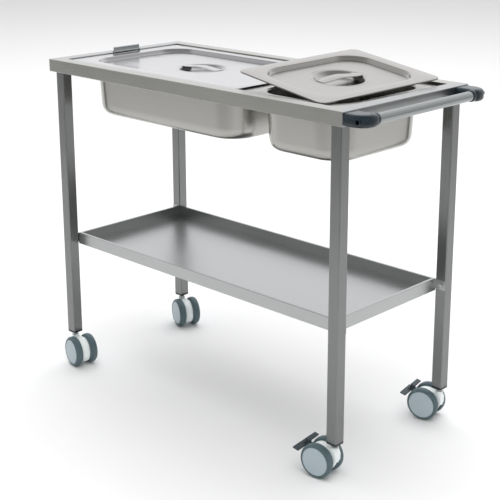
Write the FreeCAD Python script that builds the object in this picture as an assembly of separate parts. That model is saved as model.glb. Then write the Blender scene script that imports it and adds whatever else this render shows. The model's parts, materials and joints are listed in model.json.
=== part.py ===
import FreeCAD, Part
import math
import os
from FreeCAD import Rotation, Vector

os.makedirs("parts", exist_ok=True)

# All sizes are in millimetres. +X runs towards the push handle, +Y to the rear, +Z up.
# The origin is on the floor, half way along the trolley and on the deck's centre line.

# Overall heights, from the floor
deck_height = 732.0
shelf_rim_height = 321.0

# Pans and lids: standard gastronorm outer sizes
pan_width = 325.0
pan_large_length = 530.0
pan_small_length = 265.0
pan_depth = 116.0
pan_sheet = 1.0
pan_rim_width = 25.0
pan_grip_rim_width = 34.0
pan_rim_radius = 22.0
pan_rim_lip = 3.0
pan_body_radius = 61.0
pan_body_taper = 6.0
pan_floor_radius = 20.0
lid_border = 30.0
lid_grip_border = 38.0
lid_lip = 3.0
lid_panel_radius = 52.0
lid_panel_depth = 6.0
lid_panel_taper = 3.0
lid_panel_edge = 2.5
lid_dish_diameter = 104.0
lid_dish_depth = 13.0
lid_dish_taper = 7.0
lid_strap_width = 26.0
lid_strap_length = 112.0
lid_strap_thickness = 1.5
lid_strap_rise = 3.0

# How the small lid lies on its pan: askew and tipped, from the middle of its opening
small_lid_shift_x = -18.0
small_lid_shift_y = 15.0
small_lid_height = 19.5
small_lid_turn = -8.0
small_lid_tip_x = 3.4
small_lid_tip_y = 6.0

# Folding grip at the left end of the large pan
grip_length = 75.0
grip_height = 11.0
grip_plate = 2.5
grip_bead_radius = 2.0
grip_barrel_radius = 2.6
grip_pin_radius = 1.5
grip_lug_thickness = 2.0
grip_lug_width = 5.0
grip_inset = 5.0
grip_clearance = 0.3
grip_notch_margin = 1.7

# Deck: four mitred rails folded from sheet, and a bar under the joint of the pans
deck_sheet = 1.5
rail_width = 30.0
rail_height = 28.0
rail_bend = 1.4
ledge_drop = 8.0
ledge_width = 11.0
pan_side_gap = 3.0
pan_end_gap = 2.0
divider_width = 22.0
divider_height = 14.0

# Legs
leg_size = 25.0
leg_wall = 1.5
leg_corner = 2.5
leg_inset = 10.0
plug_flange = 2.5
plug_insert_length = 30.0
plug_cone_height = 6.0
plug_cone_top = 10.5
plug_cone_bottom = 6.5

# Shelf tray, screwed to the inner faces of the legs
shelf_sheet = 1.2
shelf_wall_height = 27.0
shelf_lip = 6.0
shelf_tab_length = 24.0
shelf_tab_height = 20.0
shelf_tab_drop = 2.0
shelf_bend = 1.1
shelf_screw_radius = 2.5
shelf_screw_length = 9.0
shelf_screw_head_radius = 4.5
shelf_screw_head_height = 2.6

# Push handle
handle_axis_reach = 37.0
handle_tube_diameter = 20.0
handle_tube_wall = 1.5
bracket_width = 50.0
bracket_drop = 2.0
bracket_cover = 2.0
bracket_end_cover = 4.0
bracket_outer_corner = 30.0
bracket_inner_corner = 10.0
bracket_edge = 5.0
bracket_socket_depth = 22.0
bracket_bolt_radius = 3.0
bracket_bolt_length = 14.0
bracket_bolt_spacing = 26.0
bolt_head_radius = 5.0
bolt_head_height = 4.0
cap_screw_reach = 33.0
cap_screw_radius = 2.5
cap_screw_length = 10.0
cap_screw_head_radius = 4.0
cap_screw_head_height = 3.0
cap_screw_recess = 8.0

# Castors: twin wheels on one axle, set back from the swivel stem
wheel_radius = 35.0
wheel_width = 17.5
tyre_depth = 6.0
wheel_to_leg_gap = 8.0
wheel_face_round = 2.0
tyre_round = 3.5
wheel_gap = 1.0
wheel_bore_depth = 13.0
castor_trail = 29.0
axle_radius = 4.0
running_clearance = 0.05
end_clearance = 0.3
housing_width = 18.6
housing_step = 5.5
housing_floor_gap = 10.0
neck_radius = 8.5
neck_gap = 3.5
stem_radius = 5.0
stem_depth = 22.0
stem_insert = 24.0
pedal_pivot_back = 10.0
pedal_pivot_up = 19.0
pedal_pin_radius = 2.0
pedal_arm_width = 8.0
pedal_arm_height = 7.0
pedal_side_clearance = 0.3
pedal_tread_depth = 13.0
pedal_narrow_depth = 10.0
pedal_narrow_setback = 8.0
pedal_narrow_lift_share = 0.35
pedal_tread_thickness = 3.0
pedal_tread_rise = 15.0
pedal_tread_slope = 14.0
pedal_wide_reach = 33.0
pedal_wide_back = 12.0
pedal_narrow_reach = 28.0
pedal_slot_travel = 3.0

# Angle of each castor's trailing side, counter-clockwise from +X, and whether it has a brake
castor_turn = {"front_left": -12.0, "rear_left": -22.0, "front_right": 187.0, "rear_right": 191.0}
braked_castors = ("front_right", "rear_right")

# Values worked out from the driving dimensions
bracket_height = handle_tube_diameter + 2 * bracket_cover
bracket_reach = handle_axis_reach + handle_tube_diameter / 2 + bracket_end_cover
castor_height = 2 * wheel_radius + wheel_to_leg_gap
wheel_disc_radius = wheel_radius - tyre_depth
housing_radius = wheel_radius - housing_step
pedal_reach = wheel_radius + pedal_tread_depth
pedal_narrow_lift = wheel_radius * pedal_narrow_lift_share
deck_length = 2 * rail_width + pan_large_length + pan_small_length + 3 * pan_end_gap
deck_width = 2 * rail_width + pan_width + 2 * pan_side_gap
total_length = deck_length + bracket_reach
deck_left = -total_length / 2
deck_right = deck_left + deck_length
deck_middle = (deck_left + deck_right) / 2
deck_front = -deck_width / 2
deck_rear = deck_width / 2
ledge_height = deck_height - ledge_drop
pan_top = ledge_height + pan_rim_lip
lid_top = pan_top + lid_lip
pan_large_middle = deck_left + rail_width + pan_end_gap + pan_large_length / 2
divider_middle = pan_large_middle + pan_large_length / 2 + pan_end_gap / 2
pan_small_middle = divider_middle + pan_end_gap / 2 + pan_small_length / 2
leg_centre_inset = leg_inset + leg_size / 2
leg_top = ledge_height - deck_sheet
shelf_left = deck_left + leg_inset + leg_size
shelf_right = deck_right - leg_inset - leg_size
shelf_front = deck_front + leg_inset + leg_size
shelf_rear = -shelf_front
shelf_floor_height = shelf_rim_height - shelf_wall_height
handle_axis_x = deck_right + handle_axis_reach
bracket_top = deck_height - bracket_drop
handle_axis_z = bracket_top - bracket_height / 2
bracket_inner_y = deck_rear - bracket_width
housing_half = housing_width / 2
wheel_inner = housing_half + wheel_gap
wheel_outer = wheel_inner + wheel_width
axle_half = wheel_inner + wheel_bore_depth - end_clearance
neck_top = castor_height - plug_flange - plug_cone_height - neck_gap

X = Vector(1, 0, 0)
Y = Vector(0, 1, 0)
Z = Vector(0, 0, 1)
slack = 0.01


def save(shape, node):
    """Write one sub-part, a single solid or a group of separate solids."""
    shape = shape.removeSplitter()
    shape.exportStep("parts/" + node + ".step")


def box(x0, x1, y0, y1, z0, z1):
    return Part.makeBox(x1 - x0, y1 - y0, z1 - z0, Vector(x0, y0, z0))


def rod(radius, start, length, direction):
    return Part.makeCylinder(radius, length, start, direction)


def rounded_rectangle(length, width, radius, z):
    """Closed wire of a rectangle with round corners, centred on the Z axis."""
    x = length / 2
    y = width / 2
    diagonal = radius * (1 - math.sqrt(0.5))
    edges = []
    for turn in range(4):
        across, along = (x, y) if turn % 2 == 0 else (y, x)
        side_start = Vector(across, radius - along, z)
        side_end = Vector(across, along - radius, z)
        arc_middle = Vector(across - diagonal, along - diagonal, z)
        arc_end = Vector(across - radius, along, z)
        for edge in (Part.LineSegment(side_start, side_end), Part.Arc(side_end, arc_middle, arc_end)):
            shape = edge.toShape()
            shape.rotate(Vector(0, 0, 0), Z, 90.0 * turn)
            edges.append(shape)
    return Part.Wire(edges)


def rounded_prism(length, width, radius, z0, z1):
    face = Part.Face(rounded_rectangle(length, width, radius, z0))
    return face.extrude(Vector(0, 0, z1 - z0))


def rounded_ring(length, width, radius, wall, z0, z1):
    outside = rounded_prism(length, width, radius, z0, z1)
    inside = rounded_prism(length - 2 * wall, width - 2 * wall, radius - wall, z0, z1)
    return outside.cut(inside)


def basin(length, width, radius, depth, taper, floor_radius):
    """Solid of a pressed hollow: its mouth is at z = 0 and its walls lean in by taper."""
    mouth = rounded_rectangle(length, width, radius, 0)
    floor = rounded_rectangle(length - 2 * taper, width - 2 * taper, radius - taper, -depth)
    solid = Part.makeLoft([mouth, floor], True, True)
    floor_edges = [edge for edge in solid.Edges if edge.BoundBox.ZMax < slack - depth]
    return solid.makeFillet(floor_radius, floor_edges)


def pressing(length, width, radius, depth, taper, floor_radius, sheet):
    """The outside and the inside of a hollow pressed from sheet."""
    outside = basin(length, width, radius, depth, taper, floor_radius)
    inner_depth = depth - sheet
    inner_taper = taper * inner_depth / depth
    inside = basin(
        length - 2 * sheet, width - 2 * sheet, radius - sheet, inner_depth, inner_taper, floor_radius - sheet
    )
    return outside, inside


def flange(length, radius, lip):
    """Flat rim with a turned-down edge, with its top at z = 0."""
    plate = rounded_prism(length, pan_width, radius, -pan_sheet, 0)
    return plate.fuse(rounded_ring(length, pan_width, radius, pan_sheet, -lip, 0))


def pan(length, middle, end_rim):
    """Pan with its flat rim, end_rim wide at the left end, resting on the deck's ledge."""
    outside, inside = pressing(
        length - pan_rim_width - end_rim,
        pan_width - 2 * pan_rim_width,
        pan_body_radius,
        pan_depth,
        pan_body_taper,
        pan_floor_radius,
        pan_sheet,
    )
    for shape in (outside, inside):
        shape.translate(X * (end_rim - pan_rim_width) / 2)
    shape = flange(length, pan_rim_radius, pan_rim_lip).fuse(outside).cut(inside)
    shape.translate(Vector(middle, 0, pan_top))
    return shape


def lid(length, end_border):
    """Lid with a sunk panel and a round dish, its flat rim at z = 0 and end_border wide at the left end."""
    outside, inside = pressing(
        length - lid_border - end_border + 2 * pan_sheet,
        pan_width - 2 * lid_border + 2 * pan_sheet,
        lid_panel_radius + pan_sheet,
        lid_panel_depth + pan_sheet,
        lid_panel_taper,
        lid_panel_edge + pan_sheet,
        pan_sheet,
    )
    for shape in (outside, inside):
        shape.translate(X * (end_border - lid_border) / 2)
    mouth = lid_dish_diameter / 2
    floor = mouth - lid_dish_taper
    dish_top = Vector(0, 0, -lid_panel_depth)
    dish_outside = Part.makeCone(mouth + pan_sheet, floor + pan_sheet, lid_dish_depth + pan_sheet, dish_top, -Z)
    dish_inside = Part.makeCone(mouth, floor, lid_dish_depth, dish_top, -Z)
    shape = flange(length, pan_rim_radius, lid_lip).fuse([outside, dish_outside])
    return shape.cut(inside).cut(dish_inside)


def lid_strap():
    """Arched strap that bridges the dish, its feet on the sunk panel."""
    half = lid_strap_length / 2
    edges = []
    for lift in (0.0, lid_strap_thickness):
        ends = [Vector(side * half, 0, lift) for side in (-1, 1)]
        edges.append(Part.Arc(ends[0], Vector(0, 0, lid_strap_rise + lift), ends[1]).toShape())
    for side in (-1, 1):
        foot = Vector(side * half, 0, 0)
        edges.append(Part.LineSegment(foot, foot + Z * lid_strap_thickness).toShape())
    face = Part.Face(Part.Wire(Part.__sortEdges__(edges)))
    strap = face.extrude(Y * lid_strap_width)
    strap.translate(Vector(0, -lid_strap_width / 2, -lid_panel_depth))
    return strap


def grip_place():
    """Centre of the folding grip's pin."""
    x = pan_large_middle - pan_large_length / 2 + grip_inset
    return Vector(x, 0, deck_height + grip_bead_radius + grip_clearance)


def grip_notch():
    """Space in the large lid's edge for the grip and its lugs."""
    half = grip_length / 2 + grip_lug_thickness + grip_notch_margin
    x = grip_place().x
    reach = grip_lug_width / 2 + grip_notch_margin
    return box(x - 2 * reach, x + reach, -half, half, lid_top - 2 * lid_lip, lid_top + lid_lip)


def grip():
    """Plate with a bead along its top and a barrel along its pin."""
    pin = grip_place()
    half = grip_length / 2
    start = Vector(pin.x, -half, pin.z)
    top = grip_height - grip_bead_radius
    plate = box(pin.x - grip_plate / 2, pin.x + grip_plate / 2, -half, half, pin.z, pin.z + top)
    shape = plate.fuse(rod(grip_barrel_radius, start, grip_length, Y))
    shape = shape.fuse(rod(grip_bead_radius, start + Z * top, grip_length, Y))
    return shape.cut(rod(grip_pin_radius + running_clearance, start, grip_length, Y))


def grip_lugs():
    """Two lugs welded to the pan's rim, joined by the grip's pin."""
    pin = grip_place()
    inner = grip_length / 2 + grip_clearance
    outer = inner + grip_lug_thickness
    shape = rod(grip_pin_radius, Vector(pin.x, -outer, pin.z), 2 * outer, Y)
    half_width = grip_lug_width / 2
    for side in (-1, 1):
        y0, y1 = sorted((side * inner, side * outer))
        shape = shape.fuse(box(pin.x - half_width, pin.x + half_width, y0, y1, pan_top, pin.z))
        shape = shape.fuse(rod(half_width, Vector(pin.x, y0, pin.z), grip_lug_thickness, Y))
    return shape


def rail_profile():
    """Section of a deck rail in the YZ plane, with its outer face at y = 0 and its top at z = 0."""
    skirt = box(0, 1, 0, deck_sheet, -rail_height, 0)
    top = box(0, 1, 0, rail_width, -deck_sheet, 0)
    step = box(0, 1, rail_width - deck_sheet, rail_width, -ledge_drop - deck_sheet, 0)
    ledge = box(0, 1, rail_width - deck_sheet, rail_width + ledge_width, -ledge_drop - deck_sheet, -ledge_drop)
    hem = box(0, 1, 0, leg_inset, -rail_height, deck_sheet - rail_height)
    shape = skirt.fuse([top, step, ledge, hem]).removeSplitter()
    start_faces = [face for face in shape.Faces if face.BoundBox.XMax < slack]
    return start_faces[0]


def rail(length):
    """Rail along X with mitred ends, centred on x = 0 with its outer face at y = 0."""
    shape = rail_profile().extrude(X * length)
    shape.translate(X * (-length / 2))
    bends = []
    for edge in shape.Edges:
        middle = edge.BoundBox.Center
        outer = abs(middle.y) < slack and (abs(middle.z) < slack or abs(middle.z + rail_height) < slack)
        inner = abs(middle.y - rail_width) < slack and abs(middle.z) < slack
        if edge.BoundBox.XLength > length / 2 and (outer or inner):
            bends.append(edge)
    shape = shape.makeFillet(rail_bend, bends)
    reach = rail_width + ledge_width + 1
    corners = [(-length / 2, 0), (length / 2, 0), (length / 2 - reach, reach), (reach - length / 2, reach)]
    points = [Vector(x, y, -rail_height - 1) for x, y in corners]
    mitre = Part.Face(Part.makePolygon(points + points[:1])).extrude(Z * (rail_height + 2))
    return shape.common(mitre)


def place_rail(length, angle, x, y):
    shape = rail(length)
    shape.rotate(Vector(0, 0, 0), Z, angle)
    shape.translate(Vector(x, y, deck_height))
    return shape


def bracket_bolt_places():
    """Points on the inner face of the right rail's skirt where the bracket bolts pass."""
    places = []
    for side in (-1, 1):
        middle = side * (bracket_inner_y + bracket_width / 2)
        for shift in (-0.5, 0.5):
            y = middle + shift * bracket_bolt_spacing
            places.append(Vector(deck_right - deck_sheet, y, handle_axis_z))
    return places


def bracket_bolts():
    bolts = []
    for place in bracket_bolt_places():
        shank = rod(bracket_bolt_radius, place, deck_sheet + bracket_bolt_length, X)
        bolts.append(shank.fuse(rod(bolt_head_radius, place, bolt_head_height, -X)))
    return bolts


def make_deck():
    holes = bracket_bolts()
    save(place_rail(deck_length, 0, deck_middle, deck_front), "deck_rail_front")
    save(place_rail(deck_length, 180, deck_middle, deck_rear), "deck_rail_rear")
    save(place_rail(deck_width, -90, deck_left, 0), "deck_rail_left")
    save(place_rail(deck_width, 90, deck_right, 0).cut(holes), "deck_rail_right")
    half = divider_width / 2
    reach = deck_rear - rail_width - ledge_width
    top = ledge_height
    bar = box(divider_middle - half, divider_middle + half, -reach, reach, top - divider_height, top)
    hollow = deck_sheet - half
    channel = box(
        divider_middle + hollow, divider_middle - hollow, -reach, reach, top - divider_height, top - deck_sheet
    )
    save(bar.cut(channel), "pan_divider_bar")


def leg_places():
    """Name and centre of each leg."""
    places = {}
    for end, x in (("left", deck_left + leg_centre_inset), ("right", deck_right - leg_centre_inset)):
        for side, y in (("front", deck_front + leg_centre_inset), ("rear", deck_rear - leg_centre_inset)):
            places[side + "_" + end] = Vector(x, y, 0)
    return places


def plug():
    """Leg plug with its flange under the leg, and the bore that grips the castor stem."""
    inside = leg_size - 2 * leg_wall
    insert = rounded_prism(
        inside, inside, leg_corner - leg_wall, castor_height - slack, castor_height + plug_insert_length
    )
    foot = rounded_prism(leg_size, leg_size, leg_corner, castor_height - plug_flange, castor_height)
    cone_base = Vector(0, 0, castor_height - plug_flange)
    cone = Part.makeCone(plug_cone_top, plug_cone_bottom, plug_cone_height, cone_base, -Z)
    bore_start = Vector(0, 0, castor_height - plug_flange - plug_cone_height)
    bore = rod(stem_radius, bore_start, plug_cone_height + plug_flange + stem_insert, Z)
    return foot.fuse([insert, cone]).cut(bore)


def shelf_screw_places():
    """Points on the leg faces where the tab screws enter, with their direction."""
    z = shelf_rim_height - shelf_tab_drop - shelf_tab_height / 2
    places = []
    for x in (shelf_left - leg_size / 2, shelf_right + leg_size / 2):
        for side in (-1, 1):
            places.append((Vector(x, side * (shelf_rear - shelf_sheet), z), Y * side))
    return places


def shelf_screws():
    screws = []
    for place, inward in shelf_screw_places():
        shank = rod(shelf_screw_radius, place, shelf_screw_length, inward)
        head = rod(shelf_screw_head_radius, place, shelf_screw_head_height, -inward)
        rim = [edge for edge in head.Edges if abs(edge.BoundBox.Center.y) < abs(place.y) - slack]
        rounded = [edge for edge in rim if edge.BoundBox.YLength < slack]
        head = head.makeFillet(shelf_screw_head_height * 0.6, rounded)
        screws.append(shank.fuse(head))
    return screws


def make_legs():
    screws = shelf_screws()
    for name, place in leg_places().items():
        tube = rounded_prism(leg_size, leg_size, leg_corner, castor_height, leg_top)
        inside = leg_size - 2 * leg_wall
        tube = tube.cut(rounded_prism(inside, inside, leg_corner - leg_wall, castor_height, leg_top))
        tube.translate(place)
        save(tube.cut(screws), "leg_" + name)
        end = plug()
        end.translate(place)
        save(end, "leg_plug_" + name)


def make_shelf():
    z0 = shelf_floor_height
    z1 = shelf_rim_height
    body = box(shelf_left, shelf_right, shelf_front, shelf_rear, z0, z1)
    folds = [edge for edge in body.Edges if edge.BoundBox.ZLength < slack]
    body = body.makeFillet(shelf_bend, folds)
    t = shelf_sheet
    body = body.cut(box(shelf_left + t, shelf_right - t, shelf_front + t, shelf_rear - t, z0 + t, z1 - t))
    lip = shelf_lip
    mouth = box(shelf_left + lip, shelf_right - lip, shelf_front + lip, shelf_rear - lip, z1 - 2 * t, z1 + t)
    body = body.cut(mouth)
    top = z1 - shelf_tab_drop
    tabs = []
    for x in (shelf_left - shelf_tab_length, shelf_right - t):
        for y in (shelf_front, shelf_rear - t):
            tabs.append(box(x, x + shelf_tab_length + t, y, y + t, top - shelf_tab_height, top))
    screws = shelf_screws()
    save(body.fuse(tabs).cut(screws), "shelf_tray")
    save(Part.makeCompound(screws), "shelf_screws")


def bracket_front():
    """Moulded end of the push handle at the front corner: an elbow that holds the tube."""
    x0 = deck_right
    x1 = deck_right + bracket_reach
    y0 = deck_front
    y1 = -bracket_inner_y
    outer = bracket_outer_corner
    inner = bracket_inner_corner
    diagonal = 1 - math.sqrt(0.5)
    z = bracket_top - bracket_height
    start = Vector(x1 - outer, y0, z)
    bend = Vector(x1 - outer * diagonal, y0 + outer * diagonal, z)
    side = Vector(x1, y0 + outer, z)
    side_end = Vector(x1, y1 - inner, z)
    inner_bend = Vector(x1 - inner * diagonal, y1 - inner * diagonal, z)
    inner_end = Vector(x1 - inner, y1, z)
    back = Vector(x0, y1, z)
    front = Vector(x0, y0, z)
    edges = [
        Part.LineSegment(front, start),
        Part.Arc(start, bend, side),
        Part.LineSegment(side, side_end),
        Part.Arc(side_end, inner_bend, inner_end),
        Part.LineSegment(inner_end, back),
        Part.LineSegment(back, front),
    ]
    block = Part.Face(Part.Wire([edge.toShape() for edge in edges])).extrude(Z * bracket_height)
    rims = []
    for edge in block.Edges:
        level = edge.BoundBox.ZLength < slack
        on_deck = edge.BoundBox.XMax < deck_right + slack
        if level and not on_deck:
            rims.append(edge)
    block = block.makeFillet(bracket_edge, rims)
    tube_start = Vector(handle_axis_x, y1 - bracket_socket_depth, handle_axis_z)
    block = block.cut(rod(handle_tube_diameter / 2, tube_start, bracket_socket_depth + bracket_width, Y))
    screw_x = deck_right + cap_screw_reach
    recess = Vector(screw_x, y0, handle_axis_z)
    block = block.cut(rod(cap_screw_head_radius + end_clearance, recess, cap_screw_recess, Y))
    return block.cut(bracket_bolts() + [cap_screw(-1)])


def cap_screw(side):
    """Countersunk cover screw in the outer face of a bracket."""
    start = Vector(deck_right + cap_screw_reach, side * (deck_rear - cap_screw_recess), handle_axis_z)
    shank = rod(cap_screw_radius, start, cap_screw_length, Y * -side)
    return shank.fuse(rod(cap_screw_head_radius, start, cap_screw_head_height, Y * side))


def make_handle():
    front = bracket_front()
    save(front, "handle_bracket_front")
    save(front.mirror(Vector(0, 0, 0), Y), "handle_bracket_rear")
    half = bracket_inner_y + bracket_socket_depth
    start = Vector(handle_axis_x, -half, handle_axis_z)
    radius = handle_tube_diameter / 2
    tube = rod(radius, start, 2 * half, Y).cut(rod(radius - handle_tube_wall, start, 2 * half, Y))
    save(tube, "handle_tube")
    save(Part.makeCompound(bracket_bolts() + [cap_screw(-1), cap_screw(1)]), "handle_screws")


def place_small_lid(shape):
    """Turn and tip a shape from the small lid's own place to where the lid lies."""
    tip = Rotation(X, small_lid_tip_x).multiply(Rotation(Y, small_lid_tip_y))
    turn = tip.multiply(Rotation(Z, small_lid_turn))
    x = pan_small_middle + small_lid_shift_x
    place = Vector(x, small_lid_shift_y, deck_height + small_lid_height)
    moved = shape.copy()
    moved.Placement = FreeCAD.Placement(place, turn)
    return moved


def make_pans():
    save(pan(pan_large_length, pan_large_middle, pan_grip_rim_width), "pan_large")
    save(pan(pan_small_length, pan_small_middle, pan_rim_width), "pan_small")
    save(grip(), "pan_large_grip")
    save(grip_lugs(), "pan_large_grip_lugs")
    large = lid(pan_large_length, lid_grip_border)
    large.translate(Vector(pan_large_middle, 0, lid_top))
    save(large.cut(grip_notch()), "lid_large")
    strap = lid_strap()
    strap.translate(Vector(pan_large_middle, 0, lid_top))
    save(strap, "lid_large_handle")
    save(place_small_lid(lid(pan_small_length, lid_border)), "lid_small")
    strap = lid_strap()
    strap.rotate(Vector(0, 0, 0), Z, 90)
    save(place_small_lid(strap), "lid_small_handle")


def tyre():
    """Tyre of the wheel on the +Y side."""
    ring = rod(wheel_radius, Vector(0, wheel_inner, 0), wheel_width, Y)
    shoulders = [edge for edge in ring.Edges if edge.BoundBox.YLength < slack]
    ring = ring.makeFillet(tyre_round, shoulders)
    return ring.cut(rod(wheel_disc_radius, Vector(0, wheel_inner, 0), wheel_width, Y))


def wheel_disc():
    """Wheel centre with a smooth outer face and a blind bore for the axle."""
    disc = rod(wheel_disc_radius, Vector(0, wheel_inner, 0), wheel_width, Y)
    rim = [edge for edge in disc.Edges if edge.BoundBox.YMin > wheel_outer - slack]
    disc = disc.makeFillet(wheel_face_round, rim)
    bore_radius = axle_radius + running_clearance
    return disc.cut(rod(bore_radius, Vector(0, wheel_inner, 0), wheel_bore_depth, Y))


def pedal_pivot():
    return Vector(castor_trail + pedal_pivot_back, 0, wheel_radius + pedal_pivot_up)


def housing(braked):
    """Body between the wheels, with the neck that turns on the stem."""
    start = Vector(castor_trail, -housing_half, wheel_radius)
    body = rod(housing_radius, start, housing_width, Y)
    web = box(0, castor_trail, -housing_half, housing_half, wheel_radius, wheel_radius + housing_radius - neck_radius)
    neck = rod(neck_radius, Vector(0, 0, wheel_radius), neck_top - wheel_radius, Z)
    body = body.fuse([web, neck])
    floor_cut = box(
        -wheel_radius, 3 * wheel_radius, -housing_width, housing_width, -wheel_radius, housing_floor_gap
    )
    body = body.cut(floor_cut)
    body = body.cut(rod(axle_radius, start, housing_width, Y))
    bore_start = Vector(0, 0, neck_top - stem_depth - end_clearance)
    body = body.cut(rod(stem_radius + running_clearance, bore_start, stem_depth + neck_radius, Z))
    if braked:
        pivot = pedal_pivot()
        half = pedal_arm_width / 2 + pedal_side_clearance
        under = pedal_arm_height / 2 + pedal_slot_travel
        slot = box(pivot.x - under, pivot.x + wheel_radius, -half, half, pivot.z - 2 * under, pivot.z + wheel_radius)
        body = body.cut(slot)
        body = body.cut(pedal_pin())
    return body


def pedal_pin():
    pivot = pedal_pivot()
    return rod(pedal_pin_radius, Vector(pivot.x, -housing_half, pivot.z), housing_width, Y)


def pedal_plate(depth, setback, y0, y1, lift, thickness):
    """Block on the brake pedal, sloping down towards the wheel."""
    x1 = castor_trail + pedal_reach - setback
    z = wheel_radius + pedal_tread_rise
    plate = box(x1 - depth, x1, y0, y1, z + lift, z + lift + thickness)
    plate.rotate(Vector(castor_trail + pedal_reach - pedal_tread_depth, 0, z), Y, -pedal_tread_slope)
    return plate


def pedal():
    """Brake pedal: an arm on its pin, a wide tread and a raised narrow tread."""
    pivot = pedal_pivot()
    half = pedal_arm_width / 2
    tread_x = castor_trail + pedal_reach - pedal_tread_depth / 2
    tread_z = wheel_radius + pedal_tread_rise + pedal_tread_thickness
    run = Vector(tread_x, 0, tread_z) - pivot
    arm = box(0, run.Length, -half, half, -pedal_arm_height / 2, pedal_arm_height / 2)
    arm.rotate(Vector(0, 0, 0), Y, -math.degrees(math.atan2(run.z, run.x)))
    arm.translate(pivot)
    knuckle = rod(pedal_arm_height / 2, Vector(pivot.x, -half, pivot.z), pedal_arm_width, Y)
    depth = pedal_narrow_depth
    back = pedal_narrow_setback
    lift = pedal_narrow_lift
    wide = pedal_plate(pedal_tread_depth, 0, -pedal_wide_back, pedal_wide_reach, 0, pedal_tread_thickness)
    narrow = pedal_plate(depth, back, -pedal_narrow_reach, half, lift, pedal_tread_thickness)
    riser = pedal_plate(depth, back, -half, half, 0, lift)
    shape = arm.fuse([knuckle, wide, narrow, riser])
    bore = rod(pedal_pin_radius + running_clearance, Vector(pivot.x, -half, pivot.z), pedal_arm_width, Y)
    return shape.cut(bore)


def make_castor(name, place, turn):
    """One castor, built on its swivel axis and then turned and set under its leg."""

    def put(shape, node):
        shape.rotate(Vector(0, 0, 0), Z, turn)
        shape.translate(place)
        save(shape, "castor_" + name + "_" + node)

    axle_centre = Vector(castor_trail, 0, wheel_radius)
    braked = name in braked_castors
    stem_length = stem_depth + neck_gap + plug_cone_height + plug_flange + stem_insert
    put(rod(stem_radius, Vector(0, 0, neck_top - stem_depth), stem_length, Z), "stem")
    put(housing(braked), "housing")
    put(rod(axle_radius, axle_centre - Y * axle_half, 2 * axle_half, Y), "axle")
    for side in (-1, 1):
        wheel_name = "left" if side > 0 else "right"
        for shape, node in ((wheel_disc(), "wheel"), (tyre(), "tyre")):
            if side < 0:
                shape = shape.mirror(Vector(0, 0, 0), Y)
            shape.translate(axle_centre)
            put(shape, node + "_" + wheel_name)
    if braked:
        put(pedal(), "brake_pedal")
        put(pedal_pin(), "brake_pin")


make_deck()
make_legs()
make_shelf()
make_handle()
make_pans()
for leg_name, leg_place in leg_places().items():
    make_castor(leg_name, leg_place, castor_turn[leg_name])
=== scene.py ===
import json
import math

import bmesh
import bpy
from mathutils import Matrix, Vector


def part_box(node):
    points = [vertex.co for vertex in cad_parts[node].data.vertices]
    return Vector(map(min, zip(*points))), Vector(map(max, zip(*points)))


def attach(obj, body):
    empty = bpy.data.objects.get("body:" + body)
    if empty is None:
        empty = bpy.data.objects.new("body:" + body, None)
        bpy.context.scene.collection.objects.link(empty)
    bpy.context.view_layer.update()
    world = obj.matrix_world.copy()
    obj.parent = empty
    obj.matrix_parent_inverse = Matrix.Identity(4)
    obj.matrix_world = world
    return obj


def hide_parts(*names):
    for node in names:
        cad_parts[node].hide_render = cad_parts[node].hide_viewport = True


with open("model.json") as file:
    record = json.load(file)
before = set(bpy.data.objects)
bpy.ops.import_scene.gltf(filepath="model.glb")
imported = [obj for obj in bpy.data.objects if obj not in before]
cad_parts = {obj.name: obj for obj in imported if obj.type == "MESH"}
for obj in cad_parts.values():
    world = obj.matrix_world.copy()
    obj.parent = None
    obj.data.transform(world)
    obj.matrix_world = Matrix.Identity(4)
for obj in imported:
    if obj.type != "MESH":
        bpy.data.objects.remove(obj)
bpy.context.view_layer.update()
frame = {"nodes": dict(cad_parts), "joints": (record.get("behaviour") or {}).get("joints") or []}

MM = 0.001
X = Vector((1, 0, 0))
Y = Vector((0, 1, 0))
Z = Vector((0, 0, 1))


# ---------------------------------------------------------------- castors and joints of the frame

def joint(name):
    """The frame's entry for a joint."""
    return next(entry for entry in frame["joints"] if entry["name"] == name)


CASTORS = ("front_left", "front_right", "rear_left", "rear_right")
BRAKED = ("front_right", "rear_right")


# ---------------------------------------------------------------- materials

ALONG_X = (0.012, 1.0, 1.0)
ALONG_Y = (1.0, 0.012, 1.0)
ALONG_Z = (1.0, 1.0, 0.012)
EVEN = (1.0, 1.0, 1.0)
NOISE_LOW = 0.3
NOISE_HIGH = 0.7


def new_material(name):
    """A material with its node tree and its shader."""
    material = bpy.data.materials.new(name)
    material.use_nodes = True
    tree = material.node_tree
    shader = tree.nodes["Principled BSDF"]
    return material, tree, shader


def noise(tree, scale, stretch, detail):
    """Noise in the object's own coordinates, drawn out along an axis whose stretch is small."""
    place = tree.nodes.new("ShaderNodeTexCoord")
    mapping = tree.nodes.new("ShaderNodeMapping")
    mapping.inputs["Scale"].default_value = stretch
    texture = tree.nodes.new("ShaderNodeTexNoise")
    texture.inputs["Scale"].default_value = scale
    texture.inputs["Detail"].default_value = detail
    tree.links.new(place.outputs["Object"], mapping.inputs["Vector"])
    tree.links.new(mapping.outputs["Vector"], texture.inputs["Vector"])
    return texture.outputs["Fac"]


def spread(tree, value, lowest, highest):
    """Maps the middle of a noise to the range from lowest to highest."""
    node = tree.nodes.new("ShaderNodeMapRange")
    node.inputs["From Min"].default_value = NOISE_LOW
    node.inputs["From Max"].default_value = NOISE_HIGH
    node.inputs["To Min"].default_value = lowest
    node.inputs["To Max"].default_value = highest
    tree.links.new(value, node.inputs["Value"])
    return node.outputs["Result"]


def blend_values(tree, first, second, share):
    """Mix of two values, with a share of the second."""
    node = tree.nodes.new("ShaderNodeMix")
    node.inputs["Factor"].default_value = share
    tree.links.new(first, node.inputs["A"])
    tree.links.new(second, node.inputs["B"])
    return node.outputs["Result"]


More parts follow.
